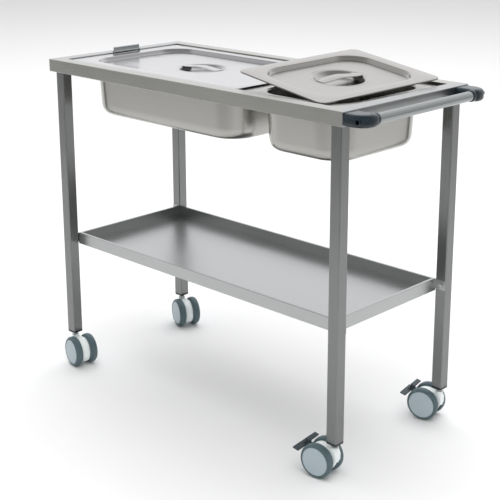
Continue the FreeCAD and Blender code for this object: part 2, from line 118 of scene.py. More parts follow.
def tint(tree, value, dark, light, first=0.0, last=1.0):
    """Colour from dark to light, as a value goes from first to last."""
    ramp = tree.nodes.new("ShaderNodeValToRGB")
    for element, position, colour in zip(ramp.color_ramp.elements, (first, last), (dark, light)):
        element.position = position
        element.color = (*colour, 1)
    tree.links.new(value, ramp.inputs["Fac"])
    return ramp.outputs["Color"]


def dot_product(tree, vector, direction):
    """How far a vector reaches along a direction."""
    node = tree.nodes.new("ShaderNodeVectorMath")
    node.operation = "DOT_PRODUCT"
    node.inputs[1].default_value = direction
    tree.links.new(vector, node.inputs[0])
    return node.outputs["Value"]


def calculate(tree, operation, first, second):
    node = tree.nodes.new("ShaderNodeMath")
    node.operation = operation
    tree.links.new(first, node.inputs[0])
    tree.links.new(second, node.inputs[1])
    return node.outputs["Value"]


def smooth_step(tree, value, first, last, highest=1.0):
    """Rises smoothly from 0 to the highest value, as a value goes from first to last."""
    node = tree.nodes.new("ShaderNodeMapRange")
    node.interpolation_type = "SMOOTHSTEP"
    node.inputs["From Min"].default_value = first
    node.inputs["From Max"].default_value = last
    node.inputs["To Max"].default_value = highest
    tree.links.new(value, node.inputs["Value"])
    return node.outputs["Result"]


def bump(tree, shader, height, strength, distance):
    """Relief on a shader's surface."""
    node = tree.nodes.new("ShaderNodeBump")
    node.inputs["Strength"].default_value = strength
    node.inputs["Distance"].default_value = distance
    tree.links.new(height, node.inputs["Height"])
    tree.links.new(node.outputs["Normal"], shader.inputs["Normal"])


STEEL_SMEAR_SCALE = 9.0
STEEL_SMEAR_SHARE = 0.45
STEEL_GRAIN_DEPTH = 0.0004
PLASTIC_PATCH_SCALE = 26.0
PLASTIC_PATCH_SHARE = 0.5
PLASTIC_GRAIN_DEPTH = 0.0005


def steel(name, colour, roughness, stretch, grain=900.0, wear=0.05, relief=0.10):
    """Stainless steel: fine grain along one way, and faint smears of wear and wiping."""
    material, tree, shader = new_material(name)
    fine = noise(tree, grain, stretch, 4.0)
    smear = noise(tree, STEEL_SMEAR_SCALE, EVEN, 5.0)
    dark = [c * (1 - wear) for c in colour]
    light = [min(1.0, c * (1 + wear)) for c in colour]
    both = blend_values(tree, fine, smear, STEEL_SMEAR_SHARE)
    tree.links.new(tint(tree, spread(tree, both, 0.0, 1.0), dark, light), shader.inputs["Base Color"])
    tree.links.new(spread(tree, both, roughness * 0.86, roughness * 1.16), shader.inputs["Roughness"])
    shader.inputs["Metallic"].default_value = 1.0
    bump(tree, shader, fine, relief, STEEL_GRAIN_DEPTH)
    return material


def plastic(name, colour, roughness, grain, strength, speckle=0.08):
    """Moulded plastic or rubber with a fine texture and slightly uneven colour."""
    material, tree, shader = new_material(name)
    fine = noise(tree, grain, EVEN, 3.0)
    patch = noise(tree, PLASTIC_PATCH_SCALE, EVEN, 4.0)
    both = blend_values(tree, fine, patch, PLASTIC_PATCH_SHARE)
    dark = [c * (1 - speckle) for c in colour]
    light = [c * (1 + speckle) for c in colour]
    tree.links.new(tint(tree, spread(tree, both, 0.0, 1.0), dark, light), shader.inputs["Base Color"])
    tree.links.new(spread(tree, both, roughness * 0.88, roughness * 1.14), shader.inputs["Roughness"])
    bump(tree, shader, fine, strength, PLASTIC_GRAIN_DEPTH)
    return material


MATERIALS = {
    "deck_x": steel("deck_steel_lengthwise", (0.40, 0.40, 0.375), 0.30, ALONG_X, 900.0, 0.09, 0.16),
    # Crosswise grain, in a colour a little darker and cooler than the lengthwise steel: painted shade on
    # the side rails' skirts and the divider bar.
    "deck_y_painted_shade": steel("deck_steel_crosswise_painted_shade", (0.38, 0.39, 0.39), 0.30, ALONG_Y, 900.0, 0.09, 0.16),
    "leg": steel("leg_steel", (0.215, 0.22, 0.218), 0.29, ALONG_Z, 900.0, 0.10, 0.18),
    "shelf": steel("shelf_steel", (0.43, 0.44, 0.44), 0.31, ALONG_X, 900.0, 0.07, 0.14),
    "pan": steel("pan_steel", (0.39, 0.385, 0.365), 0.24, EVEN, 1600.0, 0.03, 0.02),
    "lid": steel("lid_steel", (0.45, 0.45, 0.46), 0.22, EVEN, 1600.0, 0.02, 0.02),
    "small_lid": steel("small_lid_steel", (0.39, 0.38, 0.365), 0.24, EVEN, 1600.0, 0.02, 0.02),
    "grip": steel("grip_steel", (0.45, 0.47, 0.48), 0.26, ALONG_Y),
    "tube": steel("tube_steel", (0.30, 0.315, 0.315), 0.20, ALONG_Y, 900.0, 0.08, 0.12),
    "screw": steel("screw_steel", (0.62, 0.62, 0.62), 0.20, EVEN),
    # Darkened steel as painted shade: the handle screws are steel, drawn dark for the shade in their deep
    # recesses.
    "screw_painted_shade": steel("screw_steel_painted_shade", (0.12, 0.12, 0.13), 0.35, EVEN),
    "axle": steel("axle_steel", (0.50, 0.50, 0.50), 0.25, EVEN),
    "bracket": plastic("bracket_plastic", (0.006, 0.016, 0.024), 0.27, 700.0, 0.06),
    "plug": plastic("plug_plastic", (0.012, 0.015, 0.016), 0.42, 600.0, 0.12),
    "housing": plastic("housing_plastic", (0.90, 0.95, 0.95), 0.42, 900.0, 0.06, 0.03),
    "disc": plastic("wheel_plastic", (0.42, 0.50, 0.54), 0.38, 900.0, 0.06, 0.03),
    "tyre": plastic("tyre_rubber", (0.08, 0.125, 0.14), 0.55, 1100.0, 0.15, 0.12),
    "pedal": plastic("pedal_plastic", (0.040, 0.058, 0.068), 0.50, 800.0, 0.14),
}


# ---------------------------------------------------------------- mesh building

SMOOTH_ANGLE = 35.0
WELD_REACH = 0.01 * MM
BEVEL_FROM_ANGLE = 50.0
TINY = 1e-9


def make_piece(name, mesh_builder, finish, body, *nodes):
    """A mesh piece with its finish, riding on a body in place of some CAD nodes."""
    mesh = bpy.data.meshes.new(name)
    bmesh.ops.recalc_face_normals(mesh_builder, faces=mesh_builder.faces)
    mesh_builder.to_mesh(mesh)
    mesh_builder.free()
    piece = bpy.data.objects.new(name, mesh)
    bpy.context.scene.collection.objects.link(piece)
    mesh.shade_smooth()
    mesh.set_sharp_from_angle(angle=math.radians(SMOOTH_ANGLE))
    mesh.materials.append(MATERIALS[finish])
    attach(piece, body)
    if nodes:
        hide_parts(*nodes)


def keep_node(node, finish, edge=0.0):
    """A CAD node that stays, with a detailed finish and its sharp edges broken."""
    shape = frame["nodes"][node]
    shape.data.materials.clear()
    shape.data.materials.append(MATERIALS[finish])
    if edge:
        weld = shape.modifiers.new("weld", "WELD")
        weld.merge_threshold = WELD_REACH
        bevel = shape.modifiers.new("broken_edges", "BEVEL")
        bevel.width = edge
        bevel.segments = 3
        bevel.limit_method = "ANGLE"
        bevel.angle_limit = math.radians(BEVEL_FROM_ANGLE)


def soften(points, steps=5):
    """Rounds a path's corners. Each point is a list, and its last number is the length rounded off."""
    path = [points[0][:-1]]
    for before, here, after in zip(points, points[1:], points[2:]):
        reach = here[-1]
        a = Vector(before[:-1])
        b = Vector(here[:-1])
        c = Vector(after[:-1])
        start = b + (a - b) * min(0.5, reach / max((a - b).length, TINY))
        end = b + (c - b) * min(0.5, reach / max((c - b).length, TINY))
        for step in range(steps + 1):
            t = step / steps
            path.append(list(start * (1 - t) ** 2 + b * 2 * t * (1 - t) + end * t * t))
    path.append(points[-1][:-1])
    return path


def ray_on_rounded_rectangle(direction, half_x, half_y, radius):
    """Point where a ray from the centre leaves a rectangle with round corners."""
    c, s = abs(direction.x), abs(direction.y)
    t = min(half_x / max(c, TINY), half_y / max(s, TINY))
    corner_x = half_x - radius
    corner_y = half_y - radius
    if t * c > corner_x and t * s > corner_y:
        along = c * corner_x + s * corner_y
        inside = along * along - corner_x**2 - corner_y**2 + radius**2
        t = along + math.sqrt(max(inside, 0.0))
    return Vector((direction.x * t, direction.y * t, 0))


def arc(centre, radius, first, last, steps):
    """Points round a centre from one angle to another, both in degrees."""
    points = []
    for step in range(steps + 1):
        angle = math.radians(first + (last - first) * step / steps)
        points.append((centre[0] + radius * math.cos(angle), centre[1] + radius * math.sin(angle)))
    return points


def directions(half_x, half_y, radius, corner_steps=16, side_steps=14):
    """Rays through evenly spread points of a rectangle with round corners."""
    rays = []
    for turn in range(4):
        a, b = (half_x, half_y) if turn % 2 == 0 else (half_y, half_x)
        quarter = Matrix.Rotation(math.radians(90 * turn), 3, "Z")
        points = [(a, (b - radius) * (2 * step / side_steps - 1)) for step in range(side_steps)]
        points += arc((a - radius, b - radius), radius, 0, 90, corner_steps)[:-1]
        rays += [(quarter @ Vector((x, y, 0))).normalized() for x, y in points]
    return rays


def rectangle_rings(path, rays):
    """Round-cornered rings from half length, half width, corner radius, height and shift along X."""
    rings = []
    for half_x, half_y, radius, height, shift in path:
        offset = Vector((shift, 0, height))
        rings.append([ray_on_rounded_rectangle(ray, half_x, half_y, radius) + offset for ray in rays])
    return rings


def loft(rings, open_start=False):
    """Skin over rings of points, closed at its end and, unless it is left open, at its start."""
    builder = bmesh.new()
    rows = [[builder.verts.new(point) for point in ring] for ring in rings]
    for first, second in zip(rows, rows[1:]):
        for i in range(len(first)):
            j = (i + 1) % len(first)
            builder.faces.new((first[i], first[j], second[j], second[i]))
    if not open_start:
        builder.faces.new(rows[0])
    builder.faces.new(rows[-1])
    return builder


def pressed_sheet(path, rays, thickness):
    """Sheet pressed to a path of round-cornered rings."""
    builder = loft(rectangle_rings(path, rays), open_start=True)
    bmesh.ops.recalc_face_normals(builder, faces=builder.faces)
    bmesh.ops.solidify(builder, geom=builder.faces[:], thickness=thickness)
    return builder


def round_edged_levels(height, edge, steps):
    """Heights and insets of the rings of a body whose lower and upper edges are round."""
    levels = []
    for step in range(steps + 1):
        angle = math.radians(90 * step / steps)
        levels.append((edge * (1 - math.cos(angle)), edge * (1 - math.sin(angle))))
    return levels + [(height - up, inset) for up, inset in reversed(levels)]


def lathe(profile, steps=72):
    """Solid turned round the Y axis from a profile of (radius, y) points."""
    builder = bmesh.new()
    rings = []
    for radius, y in profile:
        if radius < TINY:
            rings.append([builder.verts.new((0, y, 0))])
            continue
        ring = []
        for step in range(steps):
            angle = 2 * math.pi * step / steps
            ring.append(builder.verts.new((radius * math.cos(angle), y, radius * math.sin(angle))))
        rings.append(ring)
    for first, second in zip(rings, rings[1:]):
        for i in range(steps):
            j = (i + 1) % steps
            corners = [first[i % len(first)], first[j % len(first)]]
            corners += [second[j % len(second)], second[i % len(second)]]
            corners = list(dict.fromkeys(corners))
            if len(corners) > 2:
                builder.faces.new(corners)
    return builder


def moved(builder, matrix):
    """The same builder, once its shape is moved by a matrix."""
    bmesh.ops.transform(builder, matrix=matrix, verts=builder.verts)
    return builder


# ---------------------------------------------------------------- pans and lids

SHEET = 1.0 * MM
RIM_RADIUS = 22 * MM
PAN_LIP = 3 * MM
PAN_RIM = 25 * MM
PAN_GRIP_RIM = 34 * MM
PAN_TAPER = 6 * MM
PAN_CORNER = 61 * MM
PAN_FLOOR_BEND = 24 * MM
LID_LIP = 3 * MM
LID_CORNER = 15 * MM
LID_BORDER = 27 * MM
LID_GRIP_BORDER = 36 * MM
LID_PANEL_CORNER = 54 * MM
LID_PANEL_DEPTH = 8.5 * MM
LID_PANEL_SLOPE = 3.5 * MM
DISH_RADIUS = 52 * MM
DISH_DEPTH = 10.5 * MM
STRAP_HALF_LENGTH = 54 * MM
STRAP_HALF_WIDTH = 13 * MM
STRAP_THICKNESS = 1.6 * MM
STRAP_RISE = 3.2 * MM
STRAP_ARCH_SHARE = 0.86
STRAP_END_SHARE = 0.1
STRAP_END_ROUNDING = 0.35
NOTCH_MARGIN = 1.7 * MM
NOTCH_REACH = 0.7 * MM
CUT_TOLERANCE = 0.001 * MM
SMALL_LID_TURN = -8.0
SMALL_LID_TIP_X = 3.4
SMALL_LID_TIP_Y = 6.0
SMALL_LID_EASE = 4 * MM


def rim_path(half_x, half_y, corner, lip):
    """Turned-down edge and start of the flat rim."""
    return [
        [half_x - 0.1 * MM, half_y - 0.1 * MM, corner, -lip, 0, 0],
        [half_x, half_y, corner, 0, 0, 1.6 * MM],
    ]


def add_pan(node, end_rim):
    """Pan with round corners and a flat rim, wider at the left end where it carries a grip."""
    start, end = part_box(node)
    middle = (start + end) / 2
    half_x = (end.x - start.x) / 2
    half_y = (end.y - start.y) / 2
    depth = end.z - start.z - SHEET
    shift = (end_rim - PAN_RIM) / 2
    body_x = half_x - (PAN_RIM + end_rim) / 2
    body_y = half_y - PAN_RIM
    floor_corner = PAN_CORNER - PAN_TAPER
    path = rim_path(half_x, half_y, RIM_RADIUS, PAN_LIP)
    path += [
        [body_x, body_y, PAN_CORNER, 0, shift, 4 * MM],
        [body_x - PAN_TAPER, body_y - PAN_TAPER, floor_corner, -depth, shift, PAN_FLOOR_BEND],
        [body_x / 2, body_y / 2, floor_corner / 2, -depth, shift, 1 * MM],
    ]
    rays = directions(body_x, body_y, PAN_CORNER)
    builder = pressed_sheet(soften(path, 7), rays, SHEET)
    moved(builder, Matrix.Translation((middle.x, middle.y, end.z)))
    make_piece(node + "_pressing", builder, "pan", node, node)


def lid_sheet(half_x, half_y, end_border):
    """Lid with a sunk panel, a raised ring and a round dish below the strap, its rim's top at zero."""
    shift = (end_border - LID_BORDER) / 2
    panel_x = half_x - (LID_BORDER + end_border) / 2
    panel_y = half_y - LID_BORDER
    slope = LID_PANEL_SLOPE
    depth = LID_PANEL_DEPTH
    path = rim_path(half_x, half_y, LID_CORNER, LID_LIP)
    path += [
        [panel_x, panel_y, LID_PANEL_CORNER, 0, shift, 2.5 * MM],
        [panel_x - slope, panel_y - slope, LID_PANEL_CORNER - slope, -depth, shift, 3 * MM],
        [DISH_RADIUS + 9 * MM] * 3 + [-depth, 0, 1 * MM],
        [DISH_RADIUS + 5.5 * MM] * 3 + [0.9 * MM - depth, 0, 2.5 * MM],
        [DISH_RADIUS + 1 * MM] * 3 + [-depth, 0, 3 * MM],
        [DISH_RADIUS - 9 * MM] * 3 + [-depth - DISH_DEPTH, 0, 10 * MM],
        [DISH_RADIUS / 3] * 3 + [1.2 * MM - depth - DISH_DEPTH, 0, 8 * MM],
        [2 * MM] * 3 + [1.2 * MM - depth - DISH_DEPTH, 0, 1 * MM],
    ]
    rays = directions(panel_x, panel_y, LID_PANEL_CORNER)
    return pressed_sheet(soften(path, 6), rays, SHEET)


def strap_mesh():
    """Arched strap with flat feet and rounded edges, its length along X."""
    steps = 36
    section = [(-1, 0), (-1, 0.35), (-0.97, 0.8), (-0.9, 1), (0.9, 1), (0.97, 0.8), (1, 0.35), (1, 0)]
    rows = []
    for step in range(steps + 1):
        t = 2 * step / steps - 1
        bend = math.pi * min(1.0, abs(t) / STRAP_ARCH_SHARE)
        arch = STRAP_RISE * 0.5 * (1 + math.cos(bend))
        end = max(0.0, (abs(t) - 1 + STRAP_END_SHARE) / STRAP_END_SHARE)
        width = STRAP_HALF_WIDTH * math.sqrt(1 - STRAP_END_ROUNDING * end * end)
        x = STRAP_HALF_LENGTH * t
        rows.append([(x, across * width, arch + up * STRAP_THICKNESS) for across, up in section])
    return loft(rows)


def add_large_lid():
    """The large lid lies flat on its pan, with a notch for the pan's grip."""
    start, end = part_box("lid_large")
    pan_start, pan_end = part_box("pan_large")
    middle = (pan_start + pan_end) / 2
    place = Matrix.Translation((middle.x, middle.y, end.z))
    half_y = (end.y - start.y) / 2
    half_x = (pan_end.x - pan_start.x) / 2
    builder = moved(lid_sheet(half_x, half_y, LID_GRIP_BORDER), place)
    cut_grip_notch(builder, end.z)
    make_piece("lid_large_pressing", builder, "lid", "lid_large", "lid_large")
    strap = moved(strap_mesh(), place @ Matrix.Translation((0, 0, -LID_PANEL_DEPTH)))
    make_piece("lid_large_strap", strap, "lid", "lid_large", "lid_large_handle")


def cut_grip_notch(builder, top):
    """Takes away the lid's edge where the grip and its lugs stand."""
    lugs_low, lugs_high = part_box("pan_large_grip_lugs")
    x = lugs_high.x + NOTCH_REACH
    front = lugs_low.y - NOTCH_MARGIN
    rear = lugs_high.y + NOTCH_MARGIN
    for place, normal in ((X * x, X), (Y * front, Y), (Y * rear, Y)):
        geometry = builder.verts[:] + builder.edges[:] + builder.faces[:]
        bmesh.ops.bisect_plane(builder, geom=geometry, plane_co=place, plane_no=normal, dist=CUT_TOLERANCE)
    doomed = []
    for face in builder.faces:
        centre = face.calc_center_median()
        if centre.x < x and front < centre.y < rear and abs(centre.z - top) < LID_PANEL_DEPTH:
            doomed.append(face)
    bmesh.ops.delete(builder, geom=doomed, context="FACES")
    rim = [edge for edge in builder.edges if edge.is_boundary]
    bmesh.ops.holes_fill(builder, edges=rim, sides=0)


def add_small_lid():
    """The small lid, turned and tipped, is a little smaller than in CAD and lies further left and back."""
    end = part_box("lid_small")[1]
    pan_start, pan_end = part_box("pan_small")
    half = (pan_end - pan_start) / 2
    tip_x = Matrix.Rotation(math.radians(SMALL_LID_TIP_X), 4, "X")
    tip_y = Matrix.Rotation(math.radians(SMALL_LID_TIP_Y), 4, "Y")
    turn = tip_x @ tip_y @ Matrix.Rotation(math.radians(SMALL_LID_TURN), 4, "Z")
    full_size = moved(lid_sheet(half.x, half.y, LID_BORDER), turn)
    corner = [max(vert.co[axis] for vert in full_size.verts) for axis in range(3)]
    full_size.free()
    ease = SMALL_LID_EASE
    place = Matrix.Translation(end - Vector(corner) + Vector((-ease, ease, 0)))
    builder = moved(lid_sheet(half.x - ease, half.y - ease, LID_BORDER), place @ turn)
    make_piece("lid_small_pressing", builder, "small_lid", "lid_small", "lid_small")
    across = Matrix.Rotation(math.radians(90), 4, "Z")
    strap = moved(strap_mesh(), place @ turn @ Matrix.Translation((0, 0, -LID_PANEL_DEPTH)) @ across)
    make_piece("lid_small_strap", strap, "small_lid", "lid_small", "lid_small_handle")


# ---------------------------------------------------------------- castors

FIRST_AXLE = Vector(joint("castor_front_left_spin_left")["pos_m"])
FIRST_STEM = Vector(joint("castor_front_left_swivel")["pos_m"])
CASTOR_TRAIL = (FIRST_AXLE.xy - FIRST_STEM.xy).length
WHEEL_RADIUS = FIRST_AXLE.z
WHEEL_INNER = 10.3 * MM
WHEEL_WIDTH = 17.5 * MM
DISC_RADIUS = 29 * MM
HOUSING_HALF = 9.3 * MM
HOUSING_RADIUS = WHEEL_RADIUS - 5.5 * MM
HOUSING_FLOOR = 10 * MM
HOUSING_EDGE = 2.2 * MM
HOUSING_TOP_ANGLE = 98
HOUSING_FRONT_ANGLE = 192
NECK_RADIUS = 8.5 * MM
RIB_OUTER = HOUSING_RADIUS - 9 * MM
RIB_INNER = HOUSING_RADIUS - 10.5 * MM
RIB_HEIGHT = 0.5 * MM


def wheel_place(castor, side):
    """Matrix that takes the Y axis to the wheel's axle, pointing outwards, at the axle's centre."""
    spin = joint("castor_" + castor + "_spin_" + side)
    axis = Vector(spin["axis"]).normalized()
    if side == "right":
        axis = -axis
    across = axis.cross(Z).normalized()
    turn = Matrix((across, axis, across.cross(axis))).transposed().to_4x4()
    return Matrix.Translation(Vector(spin["pos_m"])) @ turn


def add_wheel(castor, side):
    """Rubber tyre and moulded disc of one wheel."""
    body = "castor_" + castor + "_wheel_" + side
    node = "castor_" + castor + "_"
    inner = WHEEL_INNER
    outer = WHEEL_INNER + WHEEL_WIDTH
    radius = WHEEL_RADIUS
    seat = DISC_RADIUS
    tyre = [
        [seat, inner + 0.6 * MM, 0],
        [radius - 2.5 * MM, inner, 1.2 * MM],
        [radius, inner + 4 * MM, 3 * MM],
        [radius, inner + WHEEL_WIDTH / 2, 1 * MM],
        [radius, outer - 4.5 * MM, 3.5 * MM],
        [radius - 3.4 * MM, outer, 2 * MM],
        [seat, outer - 0.7 * MM, 0],
        [seat, inner + 0.6 * MM, 0],
    ]
    builder = lathe(soften(tyre, 6), 96)
    moved(builder, wheel_place(castor, side))
    make_piece(body + "_tread", builder, "tyre", body, node + "tyre_" + side)
    disc = [
        [0, inner, 0],
        [seat, inner, 0.4 * MM],
        [seat, outer - 1.1 * MM, 0.8 * MM],
        [seat - 1.6 * MM, outer + 0.1 * MM, 0.8 * MM],
        [seat - 3.0 * MM, outer - 0.5 * MM, 0.8 * MM],
        [seat - 6.0 * MM, outer - 0.2 * MM, 2.0 * MM],
        [12 * MM, outer + 0.5 * MM, 4.0 * MM],
        [0, outer + 0.6 * MM, 0],
    ]
    builder = lathe(soften(disc, 5), 96)
    moved(builder, wheel_place(castor, side))
    make_piece(body + "_disc", builder, "disc", body, node + "wheel_" + side)


def castor_place(castor):
    """Matrix from the castor's own place, on the floor below its stem with +X trailing, to the trolley."""
    spin = joint("castor_" + castor + "_spin_left")
    swivel = joint("castor_" + castor + "_swivel")
    across = Vector(spin["axis"]).normalized()
    trail = across.cross(Z)
    turn = Matrix((trail, across, Z)).transposed().to_4x4()
    stem = Vector(swivel["pos_m"])
    return Matrix.Translation((stem.x, stem.y, 0)) @ turn


def extrude_outline(outline, half_width, edge):
    """Solid with a rounded edge, from an outline of (x, z) points, across the Y axis."""
    middle = sum((Vector(point) for point in outline), Vector((0, 0))) / len(outline)
    inwards = []
    for i in range(len(outline)):
        way = (Vector(outline[(i + 1) % len(outline)]) - Vector(outline[i - 1])).normalized()
        inward = Vector((-way.y, way.x))
        if inward.dot(middle - Vector(outline[i])) < 0:
            inward = -inward
        inwards.append(inward)
    rings = []
    for up, inset in round_edged_levels(2 * half_width, edge, 4):
        ring = []
        for point, inward in zip(outline, inwards):
            x, z = Vector(point) + inward * inset
            ring.append((x, up - half_width, z))
        rings.append(ring)
    return loft(rings)


def housing_outline():
    """Side view of the housing: a disc cut flat below, drawn out to the neck."""
    centre = (CASTOR_TRAIL, WHEEL_RADIUS)
    radius = HOUSING_RADIUS
    top = WHEEL_RADIUS + radius
    drop = math.degrees(math.acos((WHEEL_RADIUS - HOUSING_FLOOR) / radius))
    outline = arc(centre, radius, drop - 90, HOUSING_TOP_ANGLE, 40)
    outline += [
        (9 * MM, top - 2.5 * MM),
        (3 * MM, top - 3.0 * MM),
        (-6 * MM, top - 6.0 * MM),
        (-8.6 * MM, top - 13 * MM),
        (-8.4 * MM, WHEEL_RADIUS + 4 * MM),
        (-4 * MM, WHEEL_RADIUS - 3 * MM),
    ]
    return outline + arc(centre, radius, HOUSING_FRONT_ANGLE, 270 - drop, 11)


def joined(builder, other):
    """Adds another builder's faces, with their normals set, to a builder."""
    mesh = bpy.data.meshes.new("joined_part")
    bmesh.ops.recalc_face_normals(other, faces=other.faces)
    other.to_mesh(mesh)
    other.free()
    builder.from_mesh(mesh)
    bpy.data.meshes.remove(mesh)
    return builder


def add_housing(castor):
    """Moulded housing with its neck, and a ring-shaped rib on each side behind the wheels."""
    body = "castor_" + castor
    node = body + "_housing"
    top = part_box(node)[1].z
    builder = extrude_outline(housing_outline(), HOUSING_HALF, HOUSING_EDGE)
    neck = [
        [0, WHEEL_RADIUS, 0],
        [NECK_RADIUS, WHEEL_RADIUS, 0.5 * MM],
        [NECK_RADIUS, top - 5 * MM, 1.5 * MM],
        [NECK_RADIUS - 0.9 * MM, top - 4.2 * MM, 0.5 * MM],
        [NECK_RADIUS - 0.9 * MM, top - 3.4 * MM, 0.5 * MM],
        [NECK_RADIUS, top - 2.6 * MM, 0.5 * MM],
        [NECK_RADIUS - 0.3 * MM, top, 0.8 * MM],
        [0, top, 0],
    ]
    stem = lathe(soften(neck, 3), 48)
    moved(stem, Matrix.Rotation(math.radians(90), 4, "X"))
    moved(joined(builder, stem), castor_place(castor))
    make_piece(node + "_shell", builder, "housing", body, node)
    for side in ("left", "right"):
        ring = [
            [RIB_OUTER, 0, 0],
            [RIB_OUTER, RIB_HEIGHT, 0.2 * MM],
            [RIB_INNER, RIB_HEIGHT, 0.2 * MM],
            [RIB_INNER, 0, 0],
        ]
        rib = lathe(soften(ring, 3), 72)
        moved(rib, wheel_place(castor, side) @ Matrix.Translation((0, HOUSING_HALF - 0.1 * MM, 0)))
        make_piece(node + "_rib_" + side, rib, "housing", body)


# ---------------------------------------------------------------- handle brackets and leg caps

BRACKET_OUTER = 30 * MM
BRACKET_INNER = 10 * MM
BRACKET_EDGE = 8 * MM
COLLAR_LENGTH = 5 * MM
RECESS_RADIUS = 4.6 * MM
RECESS_DEPTH = 5.0 * MM
RECESS_REACH = 33 * MM
RECESS_RIM = 1.5 * MM
CAP_HEIGHT = 5 * MM
CAP_EDGE = 1.2 * MM
CAP_CORNER = 2.4 * MM
CAP_WALL = 7 * MM


def carved(builder, cutter):
    """The builder's shape less the cutter's."""
    parts = []
    for shape in (builder, cutter):
        bmesh.ops.recalc_face_normals(shape, faces=shape.faces)
        mesh = bpy.data.meshes.new("carved_part")
        shape.to_mesh(mesh)
        shape.free()
        part = bpy.data.objects.new("carved_part", mesh)
        bpy.context.scene.collection.objects.link(part)
        parts.append(part)
    cut = parts[0].modifiers.new("cut", "BOOLEAN")
    cut.operation = "DIFFERENCE"
    cut.solver = "EXACT"
    cut.object = parts[1]
    bpy.context.view_layer.update()
    evaluated = parts[0].evaluated_get(bpy.context.evaluated_depsgraph_get())
    result = bmesh.new()
    result.from_mesh(evaluated.to_mesh())
    evaluated.to_mesh_clear()
    for part in parts:
        mesh = part.data
        bpy.data.objects.remove(part)
        bpy.data.meshes.remove(mesh)
    return result


def bracket_ring(reach, width, inset):
    """Plan of a bracket: flat against the deck at x = 0, its outer side at y = 0."""
    outer = BRACKET_OUTER - inset
    inner = BRACKET_INNER
    far = reach - inset
    back = width - inset
    outer_corner = arc((far - outer, inset + outer), outer, -90, 0, 16)
    inner_corner = arc((far - inner, back - inner), inner, 0, 90, 8)
    return [(0, back), (0, inset)] + outer_corner + inner_corner


def bracket_body(reach, width, height):
    """Moulded corner piece between the deck and the tube, with round upper and lower edges."""
    rings = []
    for up, inset in round_edged_levels(height, BRACKET_EDGE, 8):
        rings.append([(x, y, up) for x, y in bracket_ring(reach, width, inset)])
    return loft(rings)


def screw_recess():
    """What is cut out of a bracket's outer side round its screw."""
    depth = RECESS_DEPTH
    return lathe([(0, -depth), (RECESS_RADIUS, -depth), (RECESS_RADIUS, depth), (0, depth)], 40)


def screw_recess_rim():
    """Low raised ring round the recess."""
    rim = [
        [RECESS_RADIUS - 0.1 * MM, 0.6 * MM, 0],
        [RECESS_RADIUS - 0.1 * MM, -0.35 * MM, 0.3 * MM],
        [RECESS_RADIUS + RECESS_RIM, -0.35 * MM, 0.3 * MM],
        [RECESS_RADIUS + RECESS_RIM + 0.2 * MM, 0.6 * MM, 0],
    ]
    return lathe(soften(rim, 3), 40)


def bracket_collar(tube_radius, collar_radius, width):
    """Sleeve round the tube where it leaves the bracket."""
    root = width - 3 * COLLAR_LENGTH
    collar = [
        [tube_radius, root, 0],
        [collar_radius, root, 0.2 * MM],
        [collar_radius, width - 1.2 * MM, 1.4 * MM],
        [collar_radius - 1 * MM, width, 0.6 * MM],
        [tube_radius, width, 0],
        [tube_radius, root, 0],
    ]
    return lathe(soften(collar, 4), 64)


def add_bracket(side):
    """Handle bracket. The rear one is the front one mirrored."""
    node = "handle_bracket_" + side
    start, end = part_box(node)
    reach, width, height = end - start
    tube_start, tube_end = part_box("handle_tube")
    axis = (tube_start + tube_end) / 2 - start
    tube_radius = (tube_end.z - tube_start.z) / 2
    recess = moved(screw_recess(), Matrix.Translation((RECESS_REACH, 0, axis.z)))
    builder = carved(bracket_body(reach, width - COLLAR_LENGTH, height), recess)
    collar = bracket_collar(tube_radius, height / 2 - 0.2 * MM, width)
    joined(builder, moved(collar, Matrix.Translation((axis.x, 0, axis.z))))
    joined(builder, moved(screw_recess_rim(), Matrix.Translation((RECESS_REACH, 0.35 * MM, axis.z))))
    if side == "front":
        place = Matrix.Translation(start)
    else:
        place = Matrix.Translation((start.x, end.y, start.z)) @ Matrix.Scale(-1, 4, Y)
    moved(builder, place)
    make_piece(node + "_moulding", builder, "bracket", "root", node)


def add_leg_cap(castor):
    """Moulded edge of the plug that shows below a leg."""
    start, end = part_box("leg_" + castor)
    middle = (start + end) / 2
    half = (end.x - start.x) / 2
    inner = half - CAP_WALL
    outer = half - 0.2 * MM
    path = [
        [inner, inner, 2 * MM, -CAP_HEIGHT, 0, 0],
        [outer, outer, CAP_CORNER, -CAP_HEIGHT, 0, CAP_EDGE],
        [outer, outer, CAP_CORNER, 0, 0, 0.4 * MM],
        [inner, inner, 2 * MM, 0, 0, 0],
    ]
    rays = directions(half, half, CAP_CORNER, 8, 8)
    builder = loft(rectangle_rings(soften(path, 5), rays))
    moved(builder, Matrix.Translation((middle.x, middle.y, start.z)))
    make_piece("leg_plug_" + castor + "_cap", builder, "plug", "root")


# ---------------------------------------------------------------- kept CAD nodes

DECK_EDGE = 0.5 * MM
PEDAL_EDGE = 0.7 * MM


def finish_kept_nodes():
    """Looks of the CAD nodes that stay."""
    for side in ("front", "rear"):
        keep_node("deck_rail_" + side, "deck_x", DECK_EDGE)
    # The side rails and the divider bar take the darker crosswise steel, painted shade on their skirts.
    for side in ("left", "right"):
        keep_node("deck_rail_" + side, "deck_y_painted_shade", DECK_EDGE)
    keep_node("pan_divider_bar", "deck_y_painted_shade", DECK_EDGE)
    keep_node("shelf_tray", "shelf")
    keep_node("shelf_screws", "screw")
    # The handle screws get the darkened steel, painted shade for their recesses.
    keep_node("handle_screws", "screw_painted_shade")
    keep_node("handle_tube", "tube")
    keep_node("pan_large_grip", "grip")
    keep_node("pan_large_grip_lugs", "grip")
    for castor in CASTORS:
        keep_node("leg_" + castor, "leg")
        keep_node("leg_plug_" + castor, "plug")
        keep_node("castor_" + castor + "_stem", "axle")
        keep_node("castor_" + castor + "_axle", "axle")
    for castor in BRAKED:
        keep_node("castor_" + castor + "_brake_pedal", "pedal", PEDAL_EDGE)
        keep_node("castor_" + castor + "_brake_pin", "axle")


# ---------------------------------------------------------------- stage, light and camera

